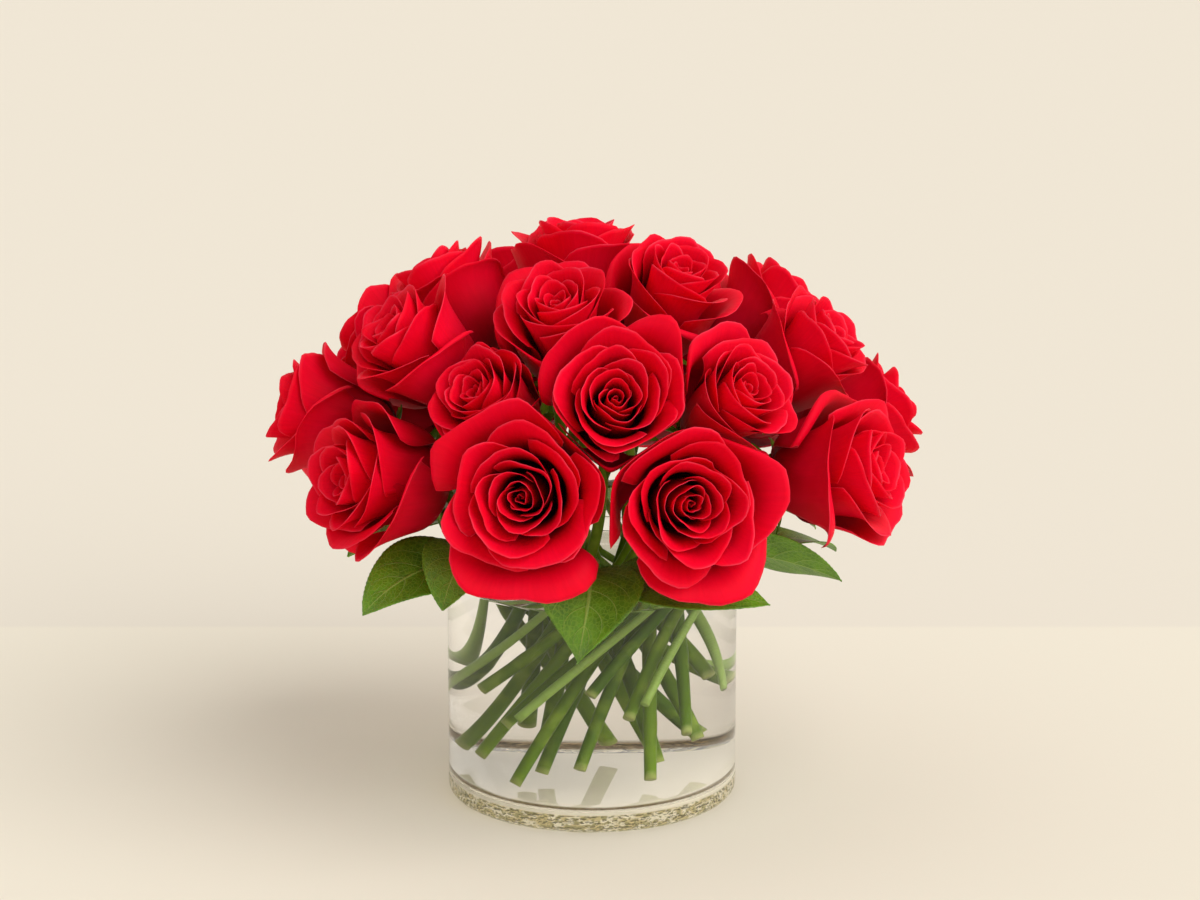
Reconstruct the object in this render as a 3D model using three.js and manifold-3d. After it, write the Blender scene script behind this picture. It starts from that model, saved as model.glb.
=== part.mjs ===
// Roses in a vase: a dome of cut red roses with a few leafy sprigs, standing in water in a clear
// glass cylinder. Millimetres, +Z up. The origin is the centre of the vase's flat underside, and
// the front of the bouquet faces -Y.
//
// How it is held: every stem is one straight line of a hyperboloid while it is in the vase, as in a
// hand-tied spiral bunch, so the stems pass one another without touching. Above the water each
// stem bends to its bloom's receptacle, and the bloom's petals stand out of a core seated on it.
import * as THREE from "three";
import { mergeVertices } from "three/addons/utils/BufferGeometryUtils.js";
import Module from "manifold-3d";

const wasm = await Module();
wasm.setup();

// ---------------------------------------------------------------- driving dimensions, mm
const GAP = 0.3; // kept between pieces that touch
const VASE = { radius: 76, height: 127, wall: 3.5, floor: 11, heel: 4.5, rim: 1.2, sides: 36 };
const WATER_LEVEL = 119;
const WAIST = 95; // height where the stems cross closest to the vase's axis
const BEND = 131; // height where a stem leaves its straight line

// Rings of stems, from the outside in: waist radius, sideways slope, lowest and highest cut end.
const RINGS = {
  lower: { waist: 33, slope: 1, turn: 12, cut: [42, 72] },
  middle: { waist: 22, slope: 0.6, turn: 14, cut: [16, 34] },
  upper: { waist: 10.5, slope: 0.36, turn: 10, cut: [15, 26] },
};
const SPRIG_RING = { waist: 43, slope: 1.1, cut: [52, 66] };
const STEM = { radius: 3, sides: 5, bends: 3, neck: 2.6, cup: 9 };
const CUP_RADII = [4.8, 7.2, 6.1]; // of the receptacle, from its underside to the petals
const SEPAL = { length: 20, droop: 1.5, depth: 1.8 };
const SPRIG = { radius: 2.4, sides: 5, top: 146 };

// Each rose: the middle of its mouth, the way it faces (azimuth from the front, towards +X, and
// elevation, degrees), the radius of its mouth, the ring its stem belongs to and the seed of the
// draws that shape its petals, one that leaves every petal clear of the others.
const ROSES = [
  { at: [-36, -132, 197], azimuth: -8, elevation: 13, radius: 52, ring: "lower", seed: 17 },
  { at: [51, -130, 193], azimuth: 12, elevation: 12, radius: 50, ring: "lower", seed: 28 },
  { at: [146, -62, 194], azimuth: 66, elevation: 14, radius: 45, ring: "lower", seed: 3 },
  { at: [159, 26, 204], azimuth: 102, elevation: 22, radius: 37, ring: "lower", seed: 1 },
  { at: [116, 100, 200], azimuth: 134, elevation: 14, radius: 45, ring: "lower", seed: 19 },
  { at: [35, 138, 196], azimuth: 167, elevation: 14, radius: 47, ring: "lower", seed: 23 },
  { at: [-51, 135, 200], azimuth: -159, elevation: 14, radius: 47, ring: "lower", seed: 23 },
  { at: [-124, 86, 201], azimuth: -125, elevation: 14, radius: 45, ring: "lower", seed: 16 },
  { at: [-157, -4, 211], azimuth: -94, elevation: 16, radius: 40, ring: "lower", seed: 21 },
  { at: [-127, -75, 191], azimuth: -59, elevation: 10, radius: 46, ring: "lower", seed: 4 },
  { at: [13, -109, 244], azimuth: 5, elevation: 29, radius: 47, ring: "middle", seed: 33 },
  { at: [-60, -85, 241], azimuth: -38, elevation: 38, radius: 37, ring: "middle", seed: 36 },
  { at: [80, -88, 243], azimuth: 42, elevation: 36, radius: 38, ring: "middle", seed: 32 },
  { at: [124, -22, 254], azimuth: 80, elevation: 42, radius: 38, ring: "middle", seed: 5 },
  { at: [101, 46, 262], azimuth: 118, elevation: 48, radius: 36, ring: "middle", seed: 17 },
  { at: [46, 101, 252], azimuth: 156, elevation: 42, radius: 44, ring: "middle", seed: 11 },
  { at: [-37, 101, 254], azimuth: -162, elevation: 42, radius: 45, ring: "middle", seed: 20 },
  { at: [-118, 40, 240], azimuth: -112, elevation: 22, radius: 43, ring: "middle", seed: 13 },
  { at: [-103, -46, 263], azimuth: -72, elevation: 44, radius: 38, ring: "middle", seed: 15 },
  { at: [-18, -60, 281], azimuth: -18, elevation: 60, radius: 39, ring: "upper", seed: 22 },
  { at: [46, -22, 288], azimuth: 45, elevation: 62, radius: 38, ring: "upper", seed: 9 },
  { at: [-84, 24, 276], azimuth: -112, elevation: 56, radius: 40, ring: "upper", seed: 34 },
  { at: [-6, 32, 294], azimuth: 170, elevation: 80, radius: 45, ring: "upper", seed: 8 },
];
const bloomDepth = (radius) => 40 + 0.42 * radius; // mouth down to the base of the petals

// The bloom that the petal formula draws, before it is scaled to a rose's own radius and depth.
const BLOOM = { petals: 26, radius: 43, depth: 50, thickness: 1.3, ruffle: 0.35, foot: 6.5 };
// The bud in the middle: the radius and height of its foot and of its rim, and its dimple's height.
const BUD = { foot: [7, 28], rim: [7.5, 45], dimple: 41 };
// The petals that the solid keeps, in whorls of three from the outside in, and the shares of their
// length where their rows lie. The first row is the root, where the petal leaves the core's wall.
const WHORLS = [
  { petals: [24, 25, 23], rows: [0.28, 0.52, 0.78, 1] },
  { petals: [21, 22, 20], rows: [0.42, 0.74, 1] },
  { petals: [14, 15, 13], rows: [0.55, 0.8, 1] },
];
const PETAL_COLUMNS = 3;
const ROOT_HALF_ANGLE = 0.55; // radians that a petal's root takes on either side of its middle
const WIDEST_HALF_ANGLE = 1.06; // of a kept petal, so that one whorl closes without crossing itself
// The three outermost petals stand looser: from what age, over what span of it, and how far.
const LOOSE = { from: 0.88, over: 0.04, by: 6 };
const GOLDEN_ANGLE = THREE.MathUtils.degToRad(137.5);

// Where two blooms crowd each other their petals bend along the plane between them, and tuck down
// between the two by a share of what they bend, which grows from the bloom's base up to the rise.
const CROWD = { clear: 0.25, soft: 8, reach: 110, weight: 0.9, centre: 0.35 };
const TUCK = { share: 0.7, crease: 1.5, rise: 40 };

// Leaves: the height on the sprig where the leaf starts, the bend and tip of its midrib, its half
// width, and its roll about the midrib in degrees.
const LEAF = { thickness: 0.9, stations: 6, tooth: 0.055, cup: 0.16, petiole: 0.13, stalk: 1.2 };
const SPRIGS = [
  {
    azimuth: 2,
    leaves: [
      { from: 141, bend: [2, -99, 150], tip: [-7, -104, 102], half: 27, roll: 0 },
      { from: 137, bend: [46, -92, 143], tip: [90, -94, 130], half: 21, roll: 24 },
    ],
  },
  {
    azimuth: -46,
    leaves: [
      { from: 141, bend: [-68, -86, 162], tip: [-75, -100, 129], half: 21, roll: -10 },
      { from: 137, bend: [-92, -72, 150], tip: [-116, -86, 122], half: 21, roll: -22 },
    ],
  },
  {
    azimuth: 62,
    leaves: [
      { from: 141, bend: [98, -56, 146], tip: [128, -56, 131], half: 21, roll: -42 },
      { from: 137, bend: [104, -10, 148], tip: [128, 6, 128], half: 20, roll: 0 },
    ],
  },
  {
    azimuth: 118,
    leaves: [
      { from: 141, bend: [94, 46, 150], tip: [120, 62, 124], half: 21, roll: 0 },
      { from: 137, bend: [72, 80, 148], tip: [82, 108, 124], half: 21, roll: 0 },
    ],
  },
  {
    azimuth: 178,
    leaves: [
      { from: 141, bend: [6, 100, 150], tip: [14, 124, 118], half: 24, roll: 0 },
      { from: 137, bend: [-36, 92, 146], tip: [-62, 108, 120], half: 21, roll: 0 },
    ],
  },
  {
    azimuth: -118,
    leaves: [
      { from: 141, bend: [-94, 48, 150], tip: [-116, 62, 122], half: 21, roll: 0 },
      { from: 137, bend: [-102, 10, 150], tip: [-128, 2, 126], half: 21, roll: 0 },
    ],
  },
];

// ---------------------------------------------------------------- materials
const material = (color, roughness, extra = {}) =>
  new THREE.MeshStandardMaterial({ color, roughness, metalness: 0, ...extra });
const MATERIALS = {
  glass: material(0xeef2ee, 0.04, { transparent: true, opacity: 0.3 }),
  water: material(0xe9f0ee, 0.02, { transparent: true, opacity: 0.35 }),
  petal: material(0xb50a1e, 0.55),
  stem: material(0x6d9440, 0.5),
  leaf: material(0x3d7a22, 0.45),
};

// ---------------------------------------------------------------- small helpers
const { degToRad, lerp } = THREE.MathUtils;
const UP = new THREE.Vector3(0, 0, 1);
const vector = (values) => new THREE.Vector3(...values);
const smooth = (x) => {
  const t = Math.min(1, Math.max(0, x));
  return t * t * (3 - 2 * t);
};

// A horizontal direction at an azimuth from the front (-Y), turning towards +X.
const outward = (azimuth) => new THREE.Vector3(Math.sin(azimuth), -Math.cos(azimuth), 0);

// Seeded draws between 0 and 1, the same on every run.
function draws(seed) {
  let state = (seed * 7919 + 17) % 2147483647;
  return () => {
    state = (state * 16807) % 2147483647;
    return state / 2147483647;
  };
}

// A geometry as a closed solid, turned so that its faces point outwards.
function solidOf(geometry) {
  const bare = geometry.clone();
  bare.deleteAttribute("normal");
  bare.deleteAttribute("uv");
  const merged = mergeVertices(bare, 1e-4);
  const triVerts = new Uint32Array(merged.index.array);
  const vertProperties = new Float32Array(merged.attributes.position.array);
  const make = () => new wasm.Manifold(new wasm.Mesh({ numProp: 3, vertProperties, triVerts }));
  const made = make();
  if (made.volume() > 0) return made;
  for (let i = 0; i < triVerts.length; i += 3) {
    [triVerts[i + 1], triVerts[i + 2]] = [triVerts[i + 2], triVerts[i + 1]];
  }
  return make();
}

function geometryOf(solid) {
  const mesh = solid.getMesh();
  return new THREE.BufferGeometry()
    .setAttribute("position", new THREE.BufferAttribute(mesh.vertProperties, 3))
    .setIndex(new THREE.BufferAttribute(mesh.triVerts, 1));
}

function meshOf(name, solid, look) {
  const geometry = geometryOf(solid);
  geometry.computeVertexNormals();
  const mesh = new THREE.Mesh(geometry, look);
  mesh.name = name;
  return mesh;
}

const union = (solids) => solids.reduce((whole, piece) => whole.add(piece));

function indexed(points, faces) {
  return new THREE.BufferGeometry()
    .setAttribute("position", new THREE.Float32BufferAttribute(points.flatMap((p) => [...p]), 3))
    .setIndex(faces.flat());
}

// ---------------------------------------------------------------- shells and tubes
// Both sides of a grid of points that has a thickness, the outer one first.
function sides(grid, thickness) {
  const normals = grid.map((row) => row.map(() => new THREE.Vector3()));
  for (let j = 0; j + 1 < grid.length; j++) {
    for (let i = 0; i + 1 < grid[0].length; i++) {
      const across = new THREE.Vector3().subVectors(grid[j + 1][i + 1], grid[j][i]);
      const along = new THREE.Vector3().subVectors(grid[j + 1][i], grid[j][i + 1]);
      const normal = across.cross(along).normalize();
      for (const [a, b] of [[j, i], [j, i + 1], [j + 1, i], [j + 1, i + 1]]) normals[a][b].add(normal);
    }
  }
  return [1, -1].map((sign) =>
    grid.map((row, j) =>
      row.map((p, i) => p.clone().addScaledVector(normals[j][i].normalize(), (sign * thickness) / 2)),
    ),
  );
}

const quad = (a, b, c, d) => [[a, b, c], [a, c, d]];

// The faces of a thin sheet between two numbered sides, split along the same diagonals. The root
// edge stays open unless it is asked for.
function sheetFaces(outer, inner, closed) {
  const last = outer.length - 1;
  const end = outer[0].length - 1;
  const faces = [];
  for (let j = 0; j < last; j++) {
    for (let i = 0; i < end; i++) {
      faces.push(...quad(outer[j][i], outer[j][i + 1], outer[j + 1][i + 1], outer[j + 1][i]));
      faces.push([inner[j][i], inner[j + 1][i + 1], inner[j][i + 1]]);
      faces.push([inner[j][i], inner[j + 1][i], inner[j + 1][i + 1]]);
    }
    faces.push(...quad(outer[j][0], outer[j + 1][0], inner[j + 1][0], inner[j][0]));
    faces.push(...quad(inner[j][end], inner[j + 1][end], outer[j + 1][end], outer[j][end]));
  }
  for (let i = 0; i < end; i++) {
    faces.push(...quad(outer[last][i], outer[last][i + 1], inner[last][i + 1], inner[last][i]));
    if (closed) faces.push(...quad(inner[0][i], inner[0][i + 1], outer[0][i + 1], outer[0][i]));
  }
  return faces;
}

// A list of points that gives each point, or each row of them, its number.
function pointList() {
  const points = [];
  const number = (item) => (Array.isArray(item) ? item.map(number) : points.push(item) - 1);
  return { points, number };
}

// A round bar through the given points, with a radius at each, closed by a flat end at both. Each
// side of its last stretch can be drawn out to a tip.
function bar(points, radii, count, tipOf = null) {
  const rings = [];
  let across = new THREE.Vector3(1, 0, 0);
  points.forEach((point, i) => {
    const before = points[Math.max(0, i - 1)];
    const after = points[Math.min(points.length - 1, i + 1)];
    const along = new THREE.Vector3().subVectors(after, before).normalize();
    across = across.clone().addScaledVector(along, -across.dot(along)).normalize();
    const over = new THREE.Vector3().crossVectors(along, across);
    for (let s = 0; s < count; s++) {
      const angle = (s / count) * 2 * Math.PI;
      rings.push(
        point
          .clone()
          .addScaledVector(across, radii[i] * Math.cos(angle))
          .addScaledVector(over, radii[i] * Math.sin(angle)),
      );
    }
  });
  const last = (points.length - 1) * count;
  const faces = [];
  for (let r = 0; r + 1 < points.length; r++) {
    for (let s = 0; s < count; s++) {
      const a = r * count + s;
      const b = r * count + ((s + 1) % count);
      const corners = [a, b, b + count, a + count];
      if (tipOf && r === points.length - 2) {
        const tip = rings.push(tipOf(rings[a], rings[b])) - 1;
        corners.forEach((corner, k) => faces.push([corner, corners[(k + 1) % 4], tip]));
      } else {
        faces.push(...quad(...corners));
      }
    }
  }
  for (let s = 1; s + 1 < count; s++) {
    faces.push([0, s + 1, s], [last, last + s, last + s + 1]);
  }
  return indexed(rings, faces);
}

// ---------------------------------------------------------------- vase and water
function latheSolid(profile, sides) {
  const points = profile.map(([radius, height]) => new THREE.Vector2(radius, height));
  return solidOf(new THREE.LatheGeometry(points, sides).rotateX(Math.PI / 2));
}

function vase() {
  const { radius, height, wall, floor, heel, rim, sides } = VASE;
  const inner = radius - wall;
  return latheSolid(
    [
      [0, 0],
      [radius - heel, 0],
      [radius - heel * 0.3, heel * 0.3],
      [radius, heel],
      [radius, height - rim],
      [radius - rim, height],
      [inner + rim, height],
      [inner, height - rim],
      [inner, floor + heel],
      [inner - heel * 0.3, floor + heel * 0.3],
      [inner - heel, floor],
      [0, floor],
    ],
    sides,
  );
}

// The water fills the vase up to its level, with a plain hole where each stem stands in it.
function water(stems) {
  const { radius, wall, floor, heel, sides } = VASE;
  const inner = radius - wall - GAP;
  const bottom = floor + GAP;
  const body = latheSolid(
    [
      [0, bottom],
      [inner - heel, bottom],
      [inner - heel * 0.3, bottom + heel * 0.3],
      [inner, bottom + heel],
      [inner, WATER_LEVEL],
      [0, WATER_LEVEL],
    ],
    sides,
  );
  return stems.reduce((left, stem) => left.subtract(stem.hole()), body);
}

// ---------------------------------------------------------------- roses
// Where the rose sits: its facing direction, its base and two directions across it.
function placement(rose) {
  const azimuth = degToRad(rose.azimuth);
  const elevation = degToRad(rose.elevation);
  const facing = outward(azimuth).multiplyScalar(Math.cos(elevation));
  facing.z = Math.sin(elevation);
  const depth = bloomDepth(rose.radius);
  const mouth = vector(rose.at);
  const right = new THREE.Vector3().crossVectors(facing, UP).normalize();
  return {
    facing,
    right,
    over: new THREE.Vector3().crossVectors(facing, right),
    base: mouth.clone().addScaledVector(facing, -depth),
    centre: mouth.clone().addScaledVector(facing, -CROWD.centre * depth),
    wide: rose.radius / BLOOM.radius,
    deep: depth / BLOOM.depth,
    radius: rose.radius,
  };
}

// The planes between a bloom and its neighbours, each as a direction and a distance along it.
function crowdPlanes(own, all) {
  return all
    .filter((other) => other !== own && other.centre.distanceTo(own.centre) < CROWD.reach)
    .map((other) => {
      const towards = new THREE.Vector3().subVectors(other.centre, own.centre);
      const apart = towards.length();
      towards.divideScalar(apart);
      const share = apart / 2 + (CROWD.weight * (own.radius ** 2 - other.radius ** 2)) / (2 * apart);
      return { towards, limit: towards.dot(own.centre) + share };
    });
}

// Moves a point back from the planes, softly, so that petals bend before they would touch. What is
// moved back can also be tucked down between the two blooms; a last pass then clears every plane.
function bendClear(point, planes, facing, tuck) {
  const { clear, soft } = CROWD;
  for (const [depth, down] of [[soft, tuck], [TUCK.crease, 0]]) {
    for (const { towards, limit } of planes) {
      const room = limit - point.dot(towards);
      if (room < depth) {
        const kept = clear + (depth - clear) * Math.exp((room - depth) / (depth - clear));
        point.addScaledVector(towards, (room - kept) * (1 - down * facing.dot(towards)));
        point.addScaledVector(facing, (room - kept) * down);
      }
    }
  }
  return point;
}

// The middle line of a petal, as distance from the bloom's axis and height, at each step along it.
const PROFILE_STEPS = 48;
function petalProfile(age, length, lip) {
  const open = age ** 1.25;
  const foot = degToRad(20 + 46 * open);
  const belly = degToRad(-8 + 26 * open);
  const edge = degToRad(-6 + 30 * age + 84 * age ** 2.4) * lip;
  const lean = (s) => {
    const low = foot + (belly - foot) * smooth(s / 0.42);
    return low + (edge - belly) * smooth((s - 0.62) / 0.4) ** 1.15;
  };
  const step = length / PROFILE_STEPS;
  const line = [[1 + 6 * open, 0]];
  for (let i = 0; i < PROFILE_STEPS; i++) {
    const a = lean(i / PROFILE_STEPS);
    const b = lean((i + 1) / PROFILE_STEPS);
    const [radius, height] = line[i];
    line.push([
      radius + ((Math.sin(a) + Math.sin(b)) / 2) * step,
      height + ((Math.cos(a) + Math.cos(b)) / 2) * step,
    ]);
  }
  return line;
}

// One petal's own draws: its place round the axis, how far its lip rolls, its point and its waves.
// The spin turns all the petals of a bloom together.
function petalTraits(index, spin, draw) {
  const age = index / (BLOOM.petals - 1);
  return {
    age,
    length: 42 + 11 * Math.sin(Math.PI * Math.min(1, age * 0.9)) + 9 * age,
    halfAngle: degToRad(125 - 66 * Math.sqrt(age)),
    turn: spin + index * GOLDEN_ANGLE + (draw() - 0.5) * 0.2,
    lip: 1 + (draw() - 0.5) * 0.5,
    point: 0.4 + 0.6 * draw(),
    wave: draw() * 6.28,
    ripple: draw() * 6.28,
  };
}

// A point of a petal: u runs across it from -1 to 1, v from its root (0) to its edge (1). Each petal
// winds outwards, so its leading side (u = 1) lies over the next one and its other side under it.
function petalPoint(petal, u, v) {
  const { age, length, halfAngle, turn, lip, point, wave, ripple } = petal;
  const last = smooth((age - LOOSE.from) / LOOSE.over);
  const roll = 0.72 + Math.abs(u) ** 1.5 * (u > 0 ? 0.1 + 0.45 * last : -0.4);
  const peak = (0.012 + 0.03 * age) * point * Math.exp(-((u / 0.2) ** 2));
  const outline = 1 - (0.05 + 0.2 * age) * Math.abs(u) ** 2.8 + peak;
  const line = petalProfile(age, length * outline, lip * roll);
  const place = v * PROFILE_STEPS;
  const low = Math.min(PROFILE_STEPS - 1, Math.floor(place));
  let radius = lerp(line[low][0], line[low + 1][0], place - low);
  let height = lerp(line[low][1], line[low + 1][1], place - low);
  const along = v * outline;
  const width =
    (0.22 + 0.78 * Math.sin((Math.min(1, along / 0.66) * Math.PI) / 2)) *
    (1 - 0.1 * smooth((along - 0.8) / 0.2));
  radius += LOOSE.by * last * smooth(v / 0.4);
  radius += (0.35 + 1.5 * age) * u * smooth(along / 0.5);
  radius += (0.3 * age + 2.5 * last) * smooth((u - 0.7) / 0.3) * smooth((v - 0.4) / 0.5);
  const swing = BLOOM.ruffle * (0.22 + 2 * age ** 1.2) * smooth((v - 0.45) / 0.55);
  const waves = Math.sin(1.6 * u * Math.PI + wave) + 0.5 * Math.sin(5.2 * u + ripple + 3 * along);
  radius += 0.9 * swing * waves;
  height += 0.6 * swing * waves;
  const angle = turn + halfAngle * u * width;
  return new THREE.Vector3(radius * Math.cos(angle), radius * Math.sin(angle), height);
}

// The rows of a kept petal. Its root is level, and narrower than the formula's, so that the roots
// of one whorl don't meet.
function petalGrid(whole, rows) {
  const petal = { ...whole, halfAngle: Math.min(whole.halfAngle, WIDEST_HALF_ANGLE) };
  const across = Array.from({ length: PETAL_COLUMNS + 1 }, (_, i) => (2 * i) / PETAL_COLUMNS - 1);
  const corners = [petalPoint(petal, -1, rows[0]), petalPoint(petal, 1, rows[0])];
  const radius = (Math.hypot(corners[0].x, corners[0].y) + Math.hypot(corners[1].x, corners[1].y)) / 2;
  const height = (corners[0].z + corners[1].z) / 2;
  const root = across.map((u) => {
    const angle = petal.turn + ROOT_HALF_ANGLE * u;
    return new THREE.Vector3(radius * Math.cos(angle), radius * Math.sin(angle), height);
  });
  return [root, ...rows.slice(1).map((v) => across.map((u) => petalPoint(petal, u, v)))];
}

// A ring of the core at the azimuths of another ring.
const coreRing = (like, radius, height) =>
  like.map((p) => {
    const angle = Math.atan2(p.y, p.x);
    return new THREE.Vector3(radius * Math.cos(angle), radius * Math.sin(angle), height);
  });

// How many whole petals to turn one ring's numbering by, so that it lies best above another ring.
function bestShift(lower, upper) {
  const offset = (shift) =>
    lower.reduce((sum, p, i) => {
      const q = upper[(i + shift) % upper.length];
      return sum + Math.abs(Math.atan2(p.x * q.y - p.y * q.x, p.x * q.x + p.y * q.y));
    }, 0);
  const shifts = lower.map((_, shift) => shift).filter((shift) => shift % (PETAL_COLUMNS + 1) === 0);
  return shifts.reduce((best, shift) => (offset(shift) < offset(best) ? shift : best));
}

// The bloom is one closed skin: a core whose wall runs up from whorl to whorl, and petals drawn out
// of that wall with their own thickness, so that no petal has to be joined on.
function bloom(place, planes, seed) {
  const draw = draws(seed);
  const spin = draw() * 2 * Math.PI;
  const petals = [];
  for (let index = 0; index < BLOOM.petals; index++) petals.push(petalTraits(index, spin, draw));
  const { points, number } = pointList();
  const faces = [];
  const band = (lower, upper) => {
    const shift = bestShift(lower.map((n) => points[n]), upper.map((n) => points[n]));
    const count = lower.length;
    for (let i = 0; i < count; i++) {
      const j = (i + 1) % count;
      faces.push(...quad(lower[i], lower[j], upper[(j + shift) % count], upper[(i + shift) % count]));
    }
  };
  const fan = (ring, centre, flip) =>
    ring.forEach((a, i) => {
      const b = ring[(i + 1) % ring.length];
      faces.push(flip ? [b, a, centre] : [a, b, centre]);
    });

  let wall = null;
  for (const { petals: chosen, rows } of WHORLS) {
    const sheets = chosen.map((index) => {
      const grid = petalGrid(petals[index], rows);
      return sides(grid, BLOOM.thickness).map(number);
    });
    for (const [outer, inner] of sheets) faces.push(...sheetFaces(outer, inner, false));
    const outside = sheets.flatMap(([outer]) => outer[0]);
    const inside = sheets.flatMap(([, inner]) => inner[0]);
    sheets.forEach(([outer, inner], k) => {
      const [nextOuter, nextInner] = sheets[(k + 1) % sheets.length];
      faces.push(...quad(outer[0].at(-1), nextOuter[0][0], nextInner[0][0], inner[0].at(-1)));
    });
    if (wall) {
      band(wall, outside);
    } else {
      const foot = number(coreRing(outside.map((n) => points[n]), BLOOM.foot, 0));
      band(foot, outside);
      fan(foot, number(new THREE.Vector3(0, 0, 0)), true);
    }
    wall = inside;
  }
  for (const [radius, height] of [BUD.foot, BUD.rim]) {
    const ring = number(coreRing(wall.map((n) => points[n]), radius, height));
    band(wall, ring);
    wall = ring;
  }
  fan(wall, number(new THREE.Vector3(0, 0, BUD.dimple)), false);
  return solidOf(indexed(points.map((p) => inPlace(place, p, planes)), faces));
}

// From the bloom's own frame to its place in the bouquet, bent clear of its neighbours.
const inPlace = (place, p, planes) =>
  bendClear(
    place.base
      .clone()
      .addScaledVector(place.right, p.x * place.wide)
      .addScaledVector(place.over, p.y * place.wide)
      .addScaledVector(place.facing, p.z * place.deep),
    planes,
    place.facing,
    TUCK.share * smooth(p.z / TUCK.rise),
  );

// ---------------------------------------------------------------- stems
// A straight line of a hyperboloid: its point at a height, for a given azimuth at the waist.
function linePoint(ring, azimuth, height) {
  const sideways = outward(azimuth + Math.PI / 2).multiplyScalar(ring.slope * (height - WAIST));
  const point = outward(azimuth).multiplyScalar(ring.waist).add(sideways);
  point.z = height;
  return point;
}

// The azimuth at the waist of the line that reaches a given azimuth at the bend.
const waistAzimuth = (ring, azimuth, height) =>
  azimuth - Math.atan((ring.slope * (height - WAIST)) / ring.waist);

// Cut heights spread evenly over a ring's range without a pattern.
const cutHeight = ({ cut }, index) => lerp(cut[0], cut[1], (index * 0.618) % 1);

// A rose's stem: straight from its cut end to the bend, then curving up to the receptacle.
function roseStem(place, ring, index, planes) {
  const seat = place.base.clone().addScaledVector(place.facing, -GAP);
  const azimuth = Math.atan2(seat.x, -seat.y) - degToRad(ring.turn);
  const waist = waistAzimuth(ring, azimuth, BEND);
  const end = linePoint(ring, waist, cutHeight(ring, index));
  const bend = linePoint(ring, waist, BEND);
  const rise = new THREE.Vector3().subVectors(bend, end).normalize();
  const neck = seat.clone().addScaledVector(place.facing, -STEM.cup);
  const pull = bend.distanceTo(neck) * 0.42;
  const curve = new THREE.CubicBezierCurve3(
    bend,
    bend.clone().addScaledVector(rise, pull),
    neck.clone().addScaledVector(place.facing, -pull),
    neck,
  );
  const cup = [0.5 * STEM.cup, SEPAL.depth, 0].map((below) =>
    seat.clone().addScaledVector(place.facing, -below),
  );
  const sepalTip = (a, b) => {
    const middle = a.clone().add(b).multiplyScalar(0.5);
    const out = middle.clone().sub(cup[1]).normalize();
    return bendClear(
      middle.addScaledVector(out, SEPAL.length).addScaledVector(place.facing, -SEPAL.droop),
      planes,
      place.facing,
      0,
    );
  };
  const shape = bar(
    [end, ...curve.getPoints(STEM.bends), ...cup],
    [...Array(STEM.bends + 1).fill(STEM.radius), STEM.neck, ...CUP_RADII],
    STEM.sides,
    sepalTip,
  );
  return {
    solid: solidOf(shape),
    hole: () => standingHole(end, bend, STEM.radius, STEM.sides),
  };
}

// The hole a stem leaves in the water: the stem's straight part, grown by the gap all round.
function standingHole(end, bend, radius, sides) {
  const rise = new THREE.Vector3().subVectors(bend, end).normalize();
  const low = end.clone().addScaledVector(rise, -GAP);
  const grown = radius + GAP / Math.cos(Math.PI / sides);
  return solidOf(bar([low, bend], [grown, grown], sides));
}

// ---------------------------------------------------------------- leafy sprigs
// The width of the blade at a share s of the leaf's length, without the teeth: none on its stalk.
function bladeWidth(s) {
  const blade = Math.max(0, (s - LEAF.petiole) / (1 - LEAF.petiole));
  return Math.sin(Math.PI * blade ** 0.7) ** 0.8;
}

// A leaf on a curved midrib: cupped along it, with a toothed edge and a pointed tip.
function leaf(foot, { bend, tip, half, roll }) {
  const midrib = new THREE.QuadraticBezierCurve3(foot, vector(bend), vector(tip));
  const grid = [];
  for (let j = 0; j <= LEAF.stations; j++) {
    const s = j / LEAF.stations;
    const centre = midrib.getPoint(s);
    const along = midrib.getTangent(s);
    const side = new THREE.Vector3().crossVectors(along, UP).normalize();
    side.applyAxisAngle(along, degToRad(roll));
    const over = new THREE.Vector3().crossVectors(side, along);
    const tooth = j % 2 ? LEAF.tooth : -LEAF.tooth;
    const narrowest = LEAF.stalk * (1 - 0.6 * s);
    const reach = Math.max(narrowest, half * bladeWidth(s) * (1 + tooth));
    grid.push(
      [-1, 0, 1].map((edge) =>
        centre
          .clone()
          .addScaledVector(side, edge * reach)
          .addScaledVector(over, Math.abs(edge) * reach * LEAF.cup),
      ),
    );
  }
  const { points, number } = pointList();
  const [outer, inner] = sides(grid, LEAF.thickness).map(number);
  return solidOf(indexed(points, sheetFaces(outer, inner, true)));
}

// A sprig: a straight woody stem in the outermost ring, with its leaves rooted in it.
function sprig({ azimuth, leaves }, index) {
  const waist = waistAzimuth(SPRIG_RING, degToRad(azimuth), SPRIG.top);
  const end = linePoint(SPRIG_RING, waist, cutHeight(SPRIG_RING, index));
  const top = linePoint(SPRIG_RING, waist, SPRIG.top);
  const shape = solidOf(bar([end, top], [SPRIG.radius, SPRIG.radius * 0.8], SPRIG.sides));
  const blades = leaves.map((one) => leaf(linePoint(SPRIG_RING, waist, one.from), one));
  return {
    solid: union([shape, ...blades]),
    hole: () => standingHole(end, top, SPRIG.radius, SPRIG.sides),
  };
}

// ---------------------------------------------------------------- assembly
const part = new THREE.Group();
const places = ROSES.map(placement);
const planes = places.map((place) => crowdPlanes(place, places));
const stems = places.map((place, i) => roseStem(place, RINGS[ROSES[i].ring], i, planes[i]));
const sprigs = SPRIGS.map(sprig);
const numbered = (name, i) => name + "_" + String(i + 1).padStart(2, "0");

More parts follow.
